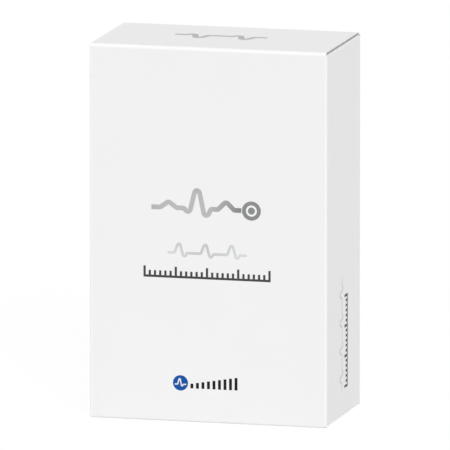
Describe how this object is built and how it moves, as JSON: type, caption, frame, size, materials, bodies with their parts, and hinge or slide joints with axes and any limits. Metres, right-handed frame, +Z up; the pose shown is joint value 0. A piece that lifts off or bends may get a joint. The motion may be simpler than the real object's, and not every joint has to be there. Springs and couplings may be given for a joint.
{
  "type": "boxed holter monitor",
  "caption": "White tuck-top folding carton holding a pocket heart recorder in a folded board cradle, with a user guide behind it.",
  "frame": {"origin": "the middle of the carton's underside, on the surface it stands on", "axes": "+Z up along the carton, +X to the right seen from the front, +Y from the front panel to the back panel"},
  "size_m": [0.116, 0.0644, 0.18],
  "materials": {
    "coated_board": "white clay-coated folding boxboard, low sheen",
    "cradle_board": "matte white fluted board",
    "paper": "uncoated white paper",
    "white_plastic": "fine moulded texture",
    "grey_plastic": "satin",
    "blue_plastic": "satin gloss",
    "rubber": "matte",
    "window": "polished dark acrylic",
    "display": "dark, smooth",
    "circuit_board": "green solder mask",
    "chip": "matte black moulding",
    "steel": "bright",
    "cell": "dark printed sleeve"
  },
  "bodies": {
    "carton": {"front_panel": "coated_board", "back_panel": "coated_board", "left_side_panel": "coated_board", "right_side_panel": "coated_board", "glue_flap": "coated_board", "bottom_outer_flap": "coated_board", "bottom_inner_flap": "coated_board", "bottom_left_flap": "coated_board", "bottom_right_flap": "coated_board", "guide_cover": "paper", "guide_pages": "paper", "cradle_shelf": "cradle_board", "cradle_left_leg": "cradle_board", "cradle_right_leg": "cradle_board", "cradle_left_post": "cradle_board", "cradle_right_post": "cradle_board", "cradle_collar": "cradle_board", "recorder_front_shell": "white_plastic", "recorder_rear_shell": "white_plastic", "shell_seal": "rubber", "shell_screw_1": "steel", "shell_screw_2": "steel", "shell_screw_3": "steel", "shell_screw_4": "steel", "event_switch": "steel", "back_switch": "steel", "next_switch": "steel", "data_socket": "steel", "battery_contact_left": "steel", "battery_contact_right": "steel", "battery_spring_left": "steel", "battery_spring_right": "steel", "clip_pin": "steel", "clip_spring": "steel", "display_window": "window", "display_module": "display", "status_lens": "display", "main_board": "circuit_board", "processor_chip": "chip", "amplifier_chip": "chip", "memory_card": "chip", "buzzer": "chip", "lead_socket": "grey_plastic", "battery_cell_left": "cell", "battery_cell_right": "cell"},
    "lid": {"lid_panel": "coated_board"},
    "tuck_flap": {"tuck_flap": "coated_board"},
    "left_dust_flap": {"left_dust_flap": "coated_board"},
    "right_dust_flap": {"right_dust_flap": "coated_board"},
    "event_button": {"event_button": "blue_plastic"},
    "back_key": {"back_key": "grey_plastic"},
    "next_key": {"next_key": "grey_plastic"},
    "hold_switch": {"hold_switch": "grey_plastic"},
    "port_cover": {"port_cover": "rubber"},
    "battery_door": {"battery_door": "white_plastic"},
    "belt_clip": {"belt_clip": "white_plastic"}
  },
  "joints": [
    {"name": "lid_hinge", "type": "hinge", "parent": "carton", "child": "lid", "pos_m": [0, -0.03225, 0.18], "axis": [1, 0, 0], "range_deg": [0, 250]},
    {"name": "tuck_crease", "type": "hinge", "parent": "lid", "child": "tuck_flap", "pos_m": [0, 0.03145, 0.18], "axis": [1, 0, 0], "range_deg": [0, 37.5]},
    {"name": "left_dust_crease", "type": "hinge", "parent": "carton", "child": "left_dust_flap", "pos_m": [-0.058, 0, 0.1792], "axis": [0, -1, 0], "range_deg": [0, 75]},
    {"name": "right_dust_crease", "type": "hinge", "parent": "carton", "child": "right_dust_flap", "pos_m": [0.058, 0, 0.1792], "axis": [0, 1, 0], "range_deg": [0, 75]},
    {"name": "event_press", "type": "slide", "parent": "carton", "child": "event_button", "axis": [0, 1, 0], "range_m": [0, 0.0005], "stiffness_N_per_m": 500, "springref_m": -0.002},
    {"name": "back_key_press", "type": "slide", "parent": "carton", "child": "back_key", "axis": [0, 1, 0], "range_m": [0, 0.0005], "stiffness_N_per_m": 400, "springref_m": -0.002},
    {"name": "next_key_press", "type": "slide", "parent": "carton", "child": "next_key", "axis": [0, 1, 0], "range_m": [0, 0.0005], "stiffness_N_per_m": 400, "springref_m": -0.002},
    {"name": "hold_slide", "type": "slide", "parent": "carton", "child": "hold_switch", "axis": [0, 0, -1], "range_m": [0, 0.0025]},
    {"name": "port_cover_bend", "type": "hinge", "parent": "carton", "child": "port_cover", "pos_m": [0.0313, -0.001, 0.0845], "axis": [0, 1, 0], "range_deg": [0, 95]},
    {"name": "battery_door_slide", "type": "slide", "parent": "carton", "child": "battery_door", "axis": [0, 0, -1], "range_m": [0, 0.003]},
    {"name": "belt_clip_hinge", "type": "hinge", "parent": "carton", "child": "belt_clip", "pos_m": [0, 0.00985, 0.1425], "axis": [1, 0, 0], "range_deg": [0, 15], "stiffness_Nm_per_rad": 0.2, "springref_deg": -28.65}
  ],
  "couplings": [
    {"joint": "tuck_crease", "follows": "lid_hinge", "ratio": 0.15},
    {"joint": "left_dust_crease", "follows": "lid_hinge", "ratio": 0.3},
    {"joint": "right_dust_crease", "follows": "lid_hinge", "ratio": 0.3}
  ]
}
